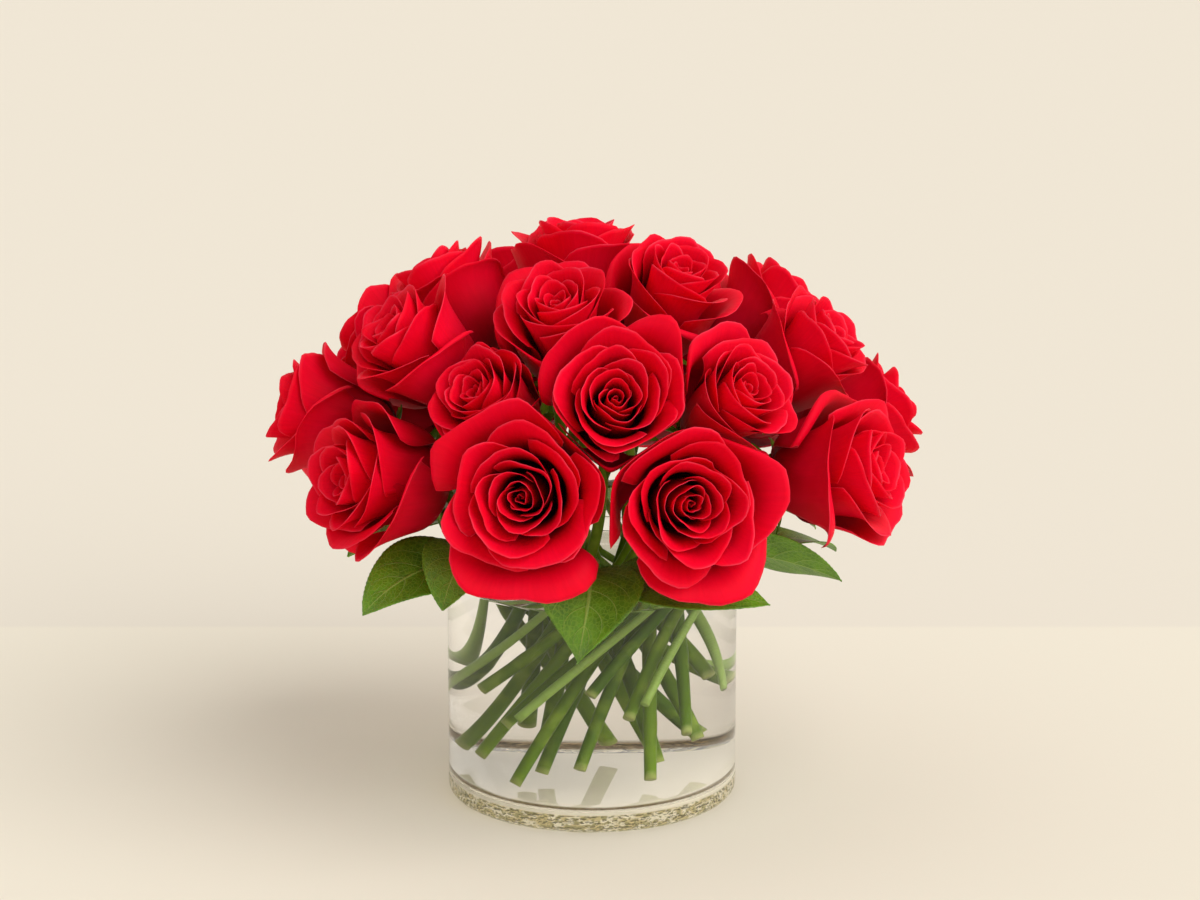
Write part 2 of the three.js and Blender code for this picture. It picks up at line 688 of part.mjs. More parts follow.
part.add(meshOf("vase", vase(), MATERIALS.glass));
part.add(meshOf("water", water([...stems, ...sprigs]), MATERIALS.water));
places.forEach((place, i) => {
  const solid = bloom(place, planes[i], ROSES[i].seed);
  part.add(meshOf(numbered("rose_bloom", i), solid, MATERIALS.petal));
});
stems.forEach((stem, i) => part.add(meshOf(numbered("rose_stem", i), stem.solid, MATERIALS.stem)));
sprigs.forEach((one, i) => part.add(meshOf(numbered("leaf_sprig", i), one.solid, MATERIALS.leaf)));

export default part;
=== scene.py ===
"""Dresses the roses in a vase: petals, leaves, stems, glass and water, on a pale ground.

Shapes are worked out in millimetres, in the frame of the solids that they dress, and turned into
metres as they are stored. The roses, stems and leaves follow the same named values and formulas as
those solids, with more petals, rows and columns.
"""

import math

import bpy
import numpy as np
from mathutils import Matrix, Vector


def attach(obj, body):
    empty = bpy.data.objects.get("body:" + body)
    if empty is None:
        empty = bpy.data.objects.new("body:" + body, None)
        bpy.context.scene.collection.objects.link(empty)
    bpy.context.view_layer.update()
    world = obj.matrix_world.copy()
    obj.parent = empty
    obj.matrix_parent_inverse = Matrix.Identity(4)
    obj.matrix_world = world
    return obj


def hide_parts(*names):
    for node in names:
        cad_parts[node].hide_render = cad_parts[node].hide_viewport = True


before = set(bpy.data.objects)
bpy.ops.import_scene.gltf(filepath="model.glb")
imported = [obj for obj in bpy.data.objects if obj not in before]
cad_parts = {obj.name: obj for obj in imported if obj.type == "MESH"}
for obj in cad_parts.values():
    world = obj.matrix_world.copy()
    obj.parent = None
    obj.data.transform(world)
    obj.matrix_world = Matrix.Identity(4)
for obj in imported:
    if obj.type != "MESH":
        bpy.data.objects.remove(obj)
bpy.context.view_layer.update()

METRES = 0.001  # metres in a millimetre

# ---------------------------------------------------------------- vase and water, mm
VASE = {"radius": 76.0, "height": 127.0, "wall": 3.5, "floor": 11.0, "heel": 4.5, "rim": 1.6}
VASE_SIDES = 160
ARC_POINTS = 7
SUPPORT = 0.4  # from a rounded corner to the ring that keeps the flat beside it flat
WATER_LEVEL = 119.0
WATER_OVERLAP = 0.6  # how far the water reaches into the glass, so that no film of air shows
# Where the water climbs the glass: how far in from the wall and how high over its level.
WATER_EDGE = [(0.0, 0.5), (0.7, 0.45), (1.3, 0.15), (2.2, 0.0)]

# ---------------------------------------------------------------- stems, mm
WAIST = 95.0  # height where the stems cross closest to the vase's axis
BEND = 131.0  # height where a stem leaves its straight line
GAP = 0.3  # between a bloom and the receptacle under it
# Rings of stems, from the outside in: the waist's radius, the sideways slope, how far in degrees a
# stem stands back from its rose, and the lowest and highest cut end.
RINGS = {
    "lower": {"waist": 33.0, "slope": 1.0, "turn": 12.0, "cut": (42.0, 72.0)},
    "middle": {"waist": 22.0, "slope": 0.6, "turn": 14.0, "cut": (16.0, 34.0)},
    "upper": {"waist": 10.5, "slope": 0.36, "turn": 10.0, "cut": (15.0, 26.0)},
}
SPRIG_RING = {"waist": 43.0, "slope": 1.1, "cut": (52.0, 66.0)}
CUT_STEP = 0.618  # share of the cut ends' range from one stem to the next, wrapped round
STEM_SEED = 131
# The neck is the radius where a stem's curve ends, the cup the length of the receptacle, and the
# pull the share of the curve's span by which it holds its direction at either end.
STEM = {"radius": 3.0, "neck": 2.6, "cup": 9.0, "sides": 18, "pull": 0.42}
STEM_RINGS = {"straight": 29, "curve": 26}
STEM_PALENESS = {"least": 0.15, "range": 0.5}
# A stem's swollen joint: its share of the radius, and its spread and place counted in rings.
JOINT = {"swell": 0.10, "spread": 1.5, "first": 6, "range": 14}
# The receptacle: shares of the cup below the petals, with the radius there.
RECEPTACLE = [(0.75, 3.2), (0.5, 4.8), (0.3, 6.3), (0.15, 7.1), (0.0, 6.2)]
SEPAL = {"count": 5, "length": 24.0, "width": 3.4, "tip": 0.12, "thickness": 0.5}
SEPAL_ROOT = {"out": 5.6, "down": 1.6}
SEPAL_MESH = {"rows": 12, "columns": 6}
SEPAL_PALENESS = 0.35

# ---------------------------------------------------------------- roses, mm and degrees
# Each rose: the middle of its mouth, the way it faces (azimuth from the front, towards +X, and
# elevation), the radius of its mouth, the ring its stem belongs to and the seed of its draws.
ROSES = [
    ((-36, -132, 197), -8, 13, 52, "lower", 17),
    ((51, -130, 193), 12, 12, 50, "lower", 28),
    ((146, -62, 194), 66, 14, 45, "lower", 3),
    ((159, 26, 204), 102, 22, 37, "lower", 1),
    ((116, 100, 200), 134, 14, 45, "lower", 19),
    ((35, 138, 196), 167, 14, 47, "lower", 23),
    ((-51, 135, 200), -159, 14, 47, "lower", 23),
    ((-124, 86, 201), -125, 14, 45, "lower", 16),
    ((-157, -4, 211), -94, 16, 40, "lower", 21),
    ((-127, -75, 191), -59, 10, 46, "lower", 4),
    ((13, -109, 244), 5, 29, 47, "middle", 33),
    ((-60, -85, 241), -38, 38, 37, "middle", 36),
    ((80, -88, 243), 42, 36, 38, "middle", 32),
    ((124, -22, 254), 80, 42, 38, "middle", 5),
    ((101, 46, 262), 118, 48, 36, "middle", 17),
    ((46, 101, 252), 156, 42, 44, "middle", 11),
    ((-37, 101, 254), -162, 42, 45, "middle", 20),
    ((-118, 40, 240), -112, 22, 43, "middle", 13),
    ((-103, -46, 263), -72, 44, 38, "middle", 15),
    ((-18, -60, 281), -18, 60, 39, "upper", 22),
    ((46, -22, 288), 45, 62, 38, "upper", 9),
    ((-84, 24, 276), -112, 56, 40, "upper", 34),
    ((-6, 32, 294), 170, 80, 45, "upper", 8),
]
# The bloom that the petal formula draws, before it is scaled to a rose's own radius and depth.
BLOOM = {"petals": 26, "radius": 43.0, "depth": 50.0, "ruffle": 1.0}
GOLDEN_ANGLE = math.radians(137.5)
# A petal's age runs from 0 for the innermost to 1 for the outermost. Its length has a share for the
# middle ages and one for the outer, and the half angle that it spans shrinks with age.
PETAL = {"length": 42, "middle_gain": 11, "outer_gain": 9, "half_angle": 125, "half_angle_loss": 66}
# How far a petal leans out from the bloom's axis at its foot, belly and edge: when it is closed,
# and what it gains as it opens. The outer petals' edges gain once more.
LEAN = {"foot": (20, 46), "belly": (-8, 26), "edge": (-6, 30), "outer_edge": 84}
# The three outermost petals stand looser: from what age, over what span of it, and how far.
LOOSE = {"from": 0.88, "over": 0.04, "by": 6.0}
PETAL_MESH = {"columns": 18, "rows": 20, "row_power": 0.85, "thick": 0.5, "thin": 0.24}
PROFILE_STEPS = 48
WAVE_TURN = 6.28  # radians over which the start of a wave is drawn
# The grain that the finishes read: mm of it for each radian across a petal, and the steps (the
# bloom's in metres) that keep petals, blooms and leaves from carrying the same pattern.
GRAIN = {"width": 20, "petal": 37.0, "bloom": 0.13, "leaf": 9.0}
# Where two blooms crowd each other their petals bend along the plane between them, and tuck down
# between the two by a share of what they bend, which grows from the bloom's base up to the rise.
CROWD = {"clear": 0.4, "soft": 8.0, "reach": 110.0, "weight": 0.9, "centre": 0.35}
TUCK = {"share": 0.7, "crease": 1.5, "rise": 40.0}

# ---------------------------------------------------------------- leafy sprigs, mm and degrees
LEAF_SEED = 231
LEAF = {"cup": 0.16, "petiole": 0.13, "stalk": 1.1, "thickness": 0.5}
LEAF_MESH = {"rows": 72, "columns": 20}
TEETH = {"count": 26, "over": 60, "height": 0.55}  # so many teeth over so many mm of midrib
SIDE_VEINS = 6.5  # pairs of veins from a leaf's midrib
SPRIG = {"radius": 2.4, "taper": 0.8, "top": 146.0, "sides": 14, "rings": 24}
MIDRIB = (0.0, 5.25, 0.0)  # a leaf's values on its midrib, which a sprig's stalk has too
# Each sprig: its azimuth and its leaves, each with the height on the sprig where it starts, the
# bend and tip of its midrib, its half width and its roll about the midrib.
SPRIGS = [
    (2,
     (141, (2, -99, 150), (-7, -104, 102), 27, 0),
     (137, (46, -92, 143), (90, -94, 130), 21, 24)),
    (-46,
     (141, (-68, -86, 162), (-75, -100, 129), 21, -10),
     (137, (-92, -72, 150), (-116, -86, 122), 21, -22)),
    (62,
     (141, (98, -56, 146), (128, -56, 131), 21, -42),
     (137, (104, -10, 148), (128, 6, 128), 20, 0)),
    (118,
     (141, (94, 46, 150), (120, 62, 124), 21, 0),
     (137, (72, 80, 148), (82, 108, 124), 21, 0)),
    (178,
     (141, (6, 100, 150), (14, 124, 118), 24, 0),
     (137, (-36, 92, 146), (-62, 108, 120), 21, 0)),
    (-118,
     (141, (-94, 48, 150), (-116, 62, 122), 21, 0),
     (137, (-102, 10, 150), (-128, 2, 126), 21, 0)),
]

# ---------------------------------------------------------------- looks, metres
# Painted highlight: the rim tone is the pale pink of light through a petal's thin edge.
# Painted shade: the deep tone darkens each petal's foot, deep in the bloom.
PETAL_TONES = {
    "deep": (0.22, 0.0, 0.003, 1),
    "bright": (0.90, 0.001, 0.022, 1),
    "warm": (0.96, 0.004, 0.045, 1),
    "vein": (0.40, 0.0, 0.008, 1),
    "rim": (0.90, 0.10, 0.17, 1),
}
LEAF_TONES = {
    "dark": (0.055, 0.175, 0.003, 1),
    "light": (0.125, 0.320, 0.006, 1),
    "net": (0.24, 0.42, 0.03, 1),
    "fine_net": (0.20, 0.36, 0.03, 1),
    "vein": (0.34, 0.50, 0.09, 1),
}
STEM_TONES = {
    "dark": (0.030, 0.085, 0.002, 1),
    "light": (0.20, 0.33, 0.012, 1),
    "streak": (0.33, 0.45, 0.05, 1),
    "cut": (0.36, 0.42, 0.12, 1),
}
CLEAR = (1.0, 1.0, 1.0, 1)
# What lamplight is multiplied by as it crosses a surface of the glass or water. It is a little over
# 1, which brightens what stands inside.
SHINE_THROUGH = (1.06, 1.05, 1.03, 1)
# The gloss is the share that a surface keeps of its mirror reflection.
GLASS = {"ior": 1.5, "gloss": 0.45}
WATER = {"ior": 1.333, "gloss": 0.1}
# Painted reflections: the pale, gold and speck tones mottle the thick base like its reflections and
# caustic light.
# Painted shade: the last tone is the dark line that the floor's inner corner shows through the
# glass.
BASE_TONES = {
    "pale": (0.97, 0.94, 0.80, 1),
    "gold": (0.55, 0.45, 0.18, 1),
    "speck": (0.22, 0.20, 0.07, 1),
    "painted_corner_shade": (0.13, 0.085, 0.04, 1),
}
UNDERSIDE = (0.0001, 0.0003)  # heights between which the vase's underside gives way to its heel
MOTTLED_TOP = (0.0100, 0.0108)  # heights between which the mottled base gives way to clear glass
# Painted shade of the floor's inner corner: heights and distances from the axis where it starts and
# ends.
PAINTED_CORNER_SHADE = {
    "bottom": (0.0106, 0.0109),
    "top": (0.0125, 0.0145),
    "inner": (0.062, 0.066),
    "outer": (0.0735, 0.0745),
}

# ---------------------------------------------------------------- ground, light and camera, metres
GROUND = {"reach": 14.0, "change": 0.274, "blur": 0.004}  # its tone changes behind the vase
GROUND_TONES = {"near": (0.83, 0.775, 0.66, 1), "far": (0.79, 0.735, 0.64, 1)}
KEY_LIGHT = {"from": (0.64, -0.50, 0.74), "strength": 2.05, "spread": 62, "colour": (1.0, 1.0, 0.98)}
# The sky's tone from level upwards, by the height of the direction.
SKY = [(0.0, (1.0, 0.955, 0.89, 1)), (0.9, (0.58, 0.56, 0.53, 1))]
# The sky is weaker in front (-Y) than behind.
SKY_STRENGTH = {"From Min": -0.8, "From Max": 0.1, "To Min": 0.8, "To Max": 1.04}
# The camera stands where the photograph was taken from.
CAMERA = {"at": (0.0042, -2.35824, 0.84779), "pitch": 15.7, "focal_px": 4704.0, "frame_px": 1200.0}
SENSOR_WIDTH = 36.0  # mm
SIGHT = 60.0  # how far the camera sees


# ---------------------------------------------------------------- small helpers
def unit(v):
    v = np.asarray(v, float)
    return v / np.maximum(np.linalg.norm(v, axis=-1, keepdims=True), 1e-12)


def smooth(x):
    t = np.clip(x, 0.0, 1.0)
    return t * t * (3.0 - 2.0 * t)


def ramp(x, start, over):
    """Rises smoothly from 0 where x is start to 1 where x is start + over."""
    return smooth((x - start) / over)


def lerp(a, b, t):
    return a + (b - a) * t


def outward(azimuth):
    """A level direction at an azimuth (radians) from the front, turning towards +X."""
    return np.array([math.sin(azimuth), -math.cos(azimuth), 0.0])


MODULUS = 2147483647


def draws(seed):
    """Seeded draws between 0 and 1, the same on every run."""
    state = (seed * 7919 + 17) % MODULUS
    while True:
        state = (state * 16807) % MODULUS
        yield state / MODULUS


def bezier(points, t):
    """Points of a Bezier curve of any degree at the shares t."""
    t = np.asarray(t, float)[:, None]
    level = [np.broadcast_to(np.asarray(p, float), (len(t), 3)) for p in points]
    while len(level) > 1:
        level = [a + (b - a) * t for a, b in zip(level, level[1:])]
    return level[0]


def vectors(*parts):
    """Stacks parts of unlike shapes into one grid of vectors."""
    return np.stack(np.broadcast_arrays(*parts), 2)


# ---------------------------------------------------------------- meshes
class Shape:
    """Gathers grids of points into one mesh, with named values at each point."""

    def __init__(self):
        self.points = []
        self.faces = []
        self.values = {}
        self.count = 0

    def add(self, points, faces, **values):
        points = np.asarray(points, float).reshape(-1, 3)
        self.points.append(points)
        self.faces += [tuple(int(i) + self.count for i in face) for face in faces]
        for name, value in values.items():
            held = np.broadcast_to(np.asarray(value, float).reshape(-1, 3), (len(points), 3))
            self.values.setdefault(name, []).append(held)
        self.count += len(points)

    def build(self, name, material, slot, *nodes):
        """Makes the mesh a piece of the scene that takes the place of the nodes."""
        mesh = bpy.data.meshes.new(name)
        mesh.from_pydata((np.concatenate(self.points) * METRES).tolist(), [], self.faces)
        for key, values in self.values.items():
            layer = mesh.attributes.new(key, "FLOAT_VECTOR", "POINT")
            layer.data.foreach_set("vector", np.concatenate(values).astype(np.float32).ravel())
        mesh.polygons.foreach_set("use_smooth", [True] * len(mesh.polygons))
        mesh.update()
        piece = bpy.data.objects.new(name, mesh)
        bpy.context.scene.collection.objects.link(piece)
        piece.data.materials.append(material)
        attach(piece, "root")
        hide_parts(*nodes)


def grid_normals(grid):
    across = np.gradient(grid, axis=1)
    along = np.gradient(grid, axis=0)
    return unit(np.cross(across, along))


def sheet(shape, grid, thickness, **values):
    """Adds a thin closed sheet: both sides of a grid of points and a rim all round."""
    rows, columns = grid.shape[:2]
    offset = grid_normals(grid) * np.broadcast_to(thickness, (rows, columns))[..., None] / 2
    number = np.arange(rows * columns).reshape(rows, columns)
    a, b = number[:-1, :-1].ravel(), number[:-1, 1:].ravel()
    c, d = number[1:, 1:].ravel(), number[1:, :-1].ravel()
    far = rows * columns
    faces = list(zip(a, b, c, d))
    faces += list(zip(d + far, c + far, b + far, a + far))
    rim = np.concatenate([number[0, :], number[1:, -1], number[-1, -2::-1], number[-2:0:-1, 0]])
    after = np.roll(rim, -1)
    faces += list(zip(after, rim, rim + far, after + far))
    both = {
        key: np.concatenate([np.broadcast_to(value, grid.shape).reshape(-1, 3)] * 2)
        for key, value in values.items()
    }
    shape.add(np.concatenate([grid + offset, grid - offset]).reshape(-1, 3), faces, **both)


def barrel_faces(rings, sides):
    """Faces of a row of rings, closed at both ends round the two points after the last ring."""
    faces = []
    for r in range(rings - 1):
        for s in range(sides):
            n = (s + 1) % sides
            faces.append((r * sides + s, r * sides + n, (r + 1) * sides + n, (r + 1) * sides + s))
    last = (rings - 1) * sides
    for s in range(sides):
        n = (s + 1) % sides
        faces.append((n, s, rings * sides))
        faces.append((last + s, last + n, rings * sides + 1))
    return faces


def round_angles(sides):
    return np.linspace(0, 2 * math.pi, sides, endpoint=False)


def tube(shape, path, radii, sides, **values):
    """Adds a round bar along a path, with a radius at each point, closed at both ends."""
    along = unit(np.gradient(path, axis=0))
    across = np.array([1.0, 0.0, 0.0])
    angle = round_angles(sides)
    rings = []
    for point, direction, radius in zip(path, along, radii):
        across = unit(across - direction * across.dot(direction))
        over = np.cross(direction, across)
        spokes = np.outer(np.cos(angle), across) + np.outer(np.sin(angle), over)
        rings.append(point + radius * spokes)
    held = {
        key: np.concatenate([np.repeat(value, sides, axis=0), value[:1], value[-1:]])
        for key, value in values.items()
    }
    points = np.concatenate(rings + [path[:1], path[-1:]])
    shape.add(points, barrel_faces(len(path), sides), **held)


def lathe(shape, profile, sides):
    """Adds a closed solid turned about the vase's axis, from a profile with both ends on it."""
    angle = round_angles(sides)
    rings = [
        np.stack([radius * np.cos(angle), radius * np.sin(angle), np.full(sides, height)], 1)
        for radius, height in profile
        if radius > 0
    ]
    ends = np.array([(0, 0, profile[0][1]), (0, 0, profile[-1][1])], float)
    shape.add(np.concatenate(rings + [ends]), barrel_faces(len(rings), sides))


def arc(centre, radius, start, stop):
    """Points of an arc in the profile's plane, from one angle to another in degrees."""
    angles = np.radians(np.linspace(start, stop, ARC_POINTS))
    return [(centre[0] + radius * math.cos(a), centre[1] + radius * math.sin(a)) for a in angles]


# ---------------------------------------------------------------- material graphs
class Graph:
    """A material's nodes, made one call at a time."""

    def __init__(self, name):
        self.material = bpy.data.materials.new(name)
        self.material.use_nodes = True
        self.tree = self.material.node_tree
        self.shader = self.tree.nodes["Principled BSDF"]
        self.output = self.tree.nodes["Material Output"]

    def feed(self, socket, value):
        if isinstance(value, bpy.types.NodeSocket):
            self.tree.links.new(value, socket)
        else:
            socket.default_value = value

    def node(self, kind, **settings):
        made = self.tree.nodes.new(kind)
        for key, value in settings.items():
            setattr(made, key, value)
        return made

    def attribute(self, name):
        return self.node("ShaderNodeAttribute", attribute_name=name).outputs["Vector"]

    def position(self):
        return self.node("ShaderNodeNewGeometry").outputs["Position"]

    def parts(self, vector):
        made = self.node("ShaderNodeSeparateXYZ")
        self.feed(made.inputs[0], vector)
        return made.outputs[0], made.outputs[1], made.outputs[2]

    def math(self, operation, a, b=0.0):
        made = self.node("ShaderNodeMath", operation=operation)
        self.feed(made.inputs[0], a)
        self.feed(made.inputs[1], b)
        return made.outputs[0]

    def range(self, value, low, high, start=0.0, end=1.0):
        """Goes smoothly from start to end as the value goes from low to high."""
        made = self.node("ShaderNodeMapRange", interpolation_type="SMOOTHSTEP")
        limits = {"From Min": low, "From Max": high, "To Min": start, "To Max": end}
        for key, limit in limits.items():
            made.inputs[key].default_value = limit
        self.feed(made.inputs["Value"], value)
        return made.outputs[0]

    def between(self, value, rise, fall):
        """Goes from 0 to 1 over one span of the value and back to 0 over the next."""
        return self.math("MULTIPLY", self.range(value, *rise), self.range(value, *fall, 1.0, 0.0))

    def mix(self, share, a, b):
        made = self.node("ShaderNodeMix", data_type="RGBA")
        self.feed(made.inputs["Factor"], share)
        self.feed(made.inputs["A"], a)
        self.feed(made.inputs["B"], b)
        return made.outputs["Result"]

    def stretched(self, vector, scale):
        made = self.node("ShaderNodeVectorMath", operation="MULTIPLY")
        self.feed(made.inputs[0], vector)
        made.inputs[1].default_value = scale
        return made.outputs[0]

    def noise(self, vector, scale, detail, roughness=0.5):
        made = self.node("ShaderNodeTexNoise")
        self.feed(made.inputs["Vector"], vector)
        made.inputs["Scale"].default_value = scale
        made.inputs["Detail"].default_value = detail
        made.inputs["Roughness"].default_value = roughness
        return made.outputs[0]

    def cells(self, vector, scale):
        """Distance to the nearest edge between the cells of a net."""
        made = self.node("ShaderNodeTexVoronoi", feature="DISTANCE_TO_EDGE")
        self.feed(made.inputs["Vector"], vector)
        made.inputs["Scale"].default_value = scale
        return made.outputs["Distance"]

    def bump(self, height, distance, strength):
        made = self.node("ShaderNodeBump")
        made.inputs["Distance"].default_value = distance
        made.inputs["Strength"].default_value = strength
        self.feed(made.inputs["Height"], height)
        self.feed(self.shader.inputs["Normal"], made.outputs[0])

    def set(self, **values):
        for key, value in values.items():
            self.feed(self.shader.inputs[key.replace("_", " ")], value)


def petal_material():
    """Red darkening to the foot, as painted shade, with fine veins and a pale painted rim highlight.
    """
    graph = Graph("petal")
    tones = PETAL_TONES
    along, side, _ = graph.parts(graph.attribute("petal"))
    grain = graph.attribute("grain")
    veins = graph.noise(graph.stretched(grain, (900.0, 60.0, 900.0)), 1.0, 4.0, 0.6)
    patches = graph.noise(graph.stretched(grain, (60.0, 40.0, 60.0)), 1.0, 2.0)
    # Painted shade: the red darkens from the edge down to the petal's foot, deep in the bloom.
    red_with_painted_shade = graph.mix(graph.range(along, 0.2, 1.0), tones["deep"], tones["bright"])
    warm = graph.mix(graph.range(patches, 0.3, 0.7, 0.0, 0.35), red_with_painted_shade, tones["warm"])
    veined = graph.mix(graph.range(veins, 0.35, 0.7, 0.12, 0.0), warm, tones["vein"])
    # Painted highlight: a thin pale pink line along the rim, in patches, for light through the thin
    # edge.
    edge = graph.math("MAXIMUM", graph.range(along, 0.982, 1.0), graph.range(side, 0.985, 1.0))
    painted_rim_highlight_share = graph.range(patches, 0.35, 0.65, 0.05, 0.4)
    graph.set(
        Base_Color=graph.mix(graph.math("MULTIPLY", edge, painted_rim_highlight_share), veined, tones["rim"]),
        Roughness=0.55,
        IOR=1.22,
        Specular_IOR_Level=0.3,
        Subsurface_Weight=0.12,
        Subsurface_Radius=(1.0, 0.1, 0.1),
        Subsurface_Scale=0.0008,
    )
    graph.bump(graph.math("ADD", veins, graph.math("MULTIPLY", patches, 1.5)), 0.0003, 0.5)
    return graph.material


def leaf_material():
    """Patchy green with a pale midrib, side veins that fade to the edge and a net between them."""
    graph = Graph("leaf")
    tones = LEAF_TONES
    across, branch, _ = graph.parts(graph.attribute("leaf"))
    grain = graph.attribute("grain")
    off_rib = graph.math("ABSOLUTE", across)
    rib = graph.range(off_rib, 0.012, 0.035, 1.0, 0.0)
    branching = graph.range(graph.math("PINGPONG", branch, 0.5), 0.0, 0.05, 1.0, 0.0)
    side_vein = graph.math("MULTIPLY", branching, graph.range(off_rib, 0.55, 0.98, 1.0, 0.15))
    veins = graph.math("MAXIMUM", rib, side_vein)
    net = graph.range(graph.cells(grain, 430.0), 0.0, 0.16, 1.0, 0.0)
    fine_net = graph.range(graph.cells(grain, 1150.0), 0.0, 0.2, 1.0, 0.0)
    patches = graph.range(graph.noise(grain, 70.0, 3.0), 0.3, 0.7)
    blade = graph.mix(patches, tones["dark"], tones["light"])
    netted = graph.mix(graph.math("MULTIPLY", net, 0.5), blade, tones["net"])
    finer = graph.mix(graph.math("MULTIPLY", fine_net, 0.25), netted, tones["fine_net"])
    graph.set(
        Base_Color=graph.mix(graph.math("MULTIPLY", veins, 0.75), finer, tones["vein"]),
        Roughness=0.42,
        Specular_IOR_Level=0.45,
        Subsurface_Weight=0.15,
        Subsurface_Radius=(0.5, 1.0, 0.2),
        Subsurface_Scale=0.001,
    )
    graph.bump(graph.math("ADD", veins, graph.math("MULTIPLY", net, 0.35)), 0.0005, 0.7)
    return graph.material


def stem_material():
    """Green of each stem's own paleness, streaked, with a pale cut end."""
    graph = Graph("stem")
    tones = STEM_TONES
    paleness, cut, _ = graph.parts(graph.attribute("stem"))
    streaks = graph.noise(graph.position(), 70.0, 3.0)
    green = graph.mix(paleness, tones["dark"], tones["light"])
    streaked = graph.mix(graph.range(streaks, 0.45, 0.7, 0.0, 0.45), green, tones["streak"])
    graph.set(
        Base_Color=graph.mix(cut, streaked, tones["cut"]),
        Roughness=0.35,
        IOR=1.38,
        Specular_IOR_Level=0.1,
    )
    graph.bump(streaks, 0.0004, 0.5)
    return graph.material


def see_through(name, ior, gloss):
    """Glass or water. Lamps shine through it, and so does all light through the underside."""
    graph = Graph(name)
    graph.set(
        Base_Color=CLEAR,
        Roughness=0.0,
        IOR=ior,
        Transmission_Weight=1.0,
        Specular_IOR_Level=0.5,
        Specular_Tint=(gloss, gloss, gloss, 1),
    )
    passing = graph.node("ShaderNodeBsdfTransparent")
    passing.inputs["Color"].default_value = SHINE_THROUGH
    lamplight = graph.node("ShaderNodeLightPath").outputs["Is Shadow Ray"]
    _, _, height = graph.parts(graph.position())
    underside = graph.range(height, *UNDERSIDE, 1.0, 0.0)
    mixed = graph.node("ShaderNodeMixShader")
    graph.feed(mixed.inputs[0], graph.math("MAXIMUM", lamplight, underside))
    graph.feed(mixed.inputs[1], graph.shader.outputs[0])
    graph.feed(mixed.inputs[2], passing.outputs[0])
    graph.feed(graph.output.inputs["Surface"], mixed.outputs[0])
    return graph


def glass_material():
    """Clear glass; painted reflections mottle its rippled base in gold; painted shade darkens its
    edge.
    """
    graph = see_through("glass", **GLASS)
    tones = BASE_TONES
    place = graph.position()
    _, _, height = graph.parts(place)
    length = graph.node("ShaderNodeVectorMath", operation="LENGTH")
    graph.feed(length.inputs[0], graph.stretched(place, (1.0, 1.0, 0.0)))
    from_axis = length.outputs["Value"]

    in_base = graph.range(height, *MOTTLED_TOP, 1.0, 0.0)
    ripples = graph.noise(graph.stretched(place, (120.0, 120.0, 300.0)), 1.0, 2.0)
    grains = graph.noise(graph.stretched(place, (420.0, 420.0, 700.0)), 1.0, 1.0)
    waves = graph.math("ADD", ripples, graph.math("MULTIPLY", grains, 0.6))
    graph.bump(graph.math("MULTIPLY", waves, in_base), 0.006, 1.0)

    # Painted reflections and caustic light: clouds of gold and dark specks in the base.
    clouds = graph.noise(graph.stretched(place, (160.0, 160.0, 380.0)), 1.0, 2.0)
    golden = graph.mix(graph.range(clouds, 0.42, 0.58), tones["pale"], tones["gold"])
    painted_reflections = graph.mix(graph.range(grains, 0.5, 0.57), golden, tones["speck"])
    body = graph.mix(in_base, CLEAR, painted_reflections)
    # Painted shade: a dark line over the base's edge, at the floor's inner corner.
    band = graph.between(height, PAINTED_CORNER_SHADE["bottom"], PAINTED_CORNER_SHADE["top"])
    ring = graph.between(from_axis, PAINTED_CORNER_SHADE["inner"], PAINTED_CORNER_SHADE["outer"])
    painted_corner_shade = graph.math("MULTIPLY", band, ring)
    graph.set(Base_Color=graph.mix(painted_corner_shade, body, tones["painted_corner_shade"]))
    return graph.material


# ---------------------------------------------------------------- vase and water
def build_vase(material):
    radius, height, wall = VASE["radius"], VASE["height"], VASE["wall"]
    floor, heel, rim = VASE["floor"], VASE["heel"], VASE["rim"]
    inner = radius - wall
    profile = [(0, 0), (radius - heel - SUPPORT, 0)]
    profile += arc((radius - heel, heel), heel, -90, 0)
    profile += [(radius, heel + SUPPORT), (radius, height / 2), (radius, height - rim - SUPPORT)]
    profile += arc((radius - rim, height - rim), rim, 0, 90)
    profile += arc((inner + rim, height - rim), rim, 90, 180)
    profile += [(inner, height - rim - SUPPORT), (inner, height / 2)]
    profile += [(inner, floor + heel + SUPPORT)]
    profile += arc((inner - heel, floor + heel), heel, 0, -90)
    profile += [(inner - heel - SUPPORT, floor), (0, floor)]
    shape = Shape()
    lathe(shape, profile, VASE_SIDES)
    shape.build("vase_glass", material, "glass", "vase")


def build_water(material):
    inner = VASE["radius"] - VASE["wall"] + WATER_OVERLAP
    low = VASE["floor"] - WATER_OVERLAP
    heel, top = VASE["heel"], WATER_LEVEL
    profile = [(0, low), (inner - heel - SUPPORT, low)]
    profile += arc((inner - heel, low + heel), heel, -90, 0)
    profile += [(inner, low + heel + SUPPORT), (inner, top / 2), (inner, top - SUPPORT)]
    profile += [(inner - inwards, top + rise) for inwards, rise in WATER_EDGE]
    profile += [(inner - WATER_EDGE[-1][0] - SUPPORT, top), (0, top)]
    shape = Shape()
    lathe(shape, profile, VASE_SIDES)
    shape.build("water_body", material, "water", "water")


# ---------------------------------------------------------------- roses
def bloom_depth(radius):
    """From a rose's mouth down to the base of its petals."""
    return 40 + 0.42 * radius


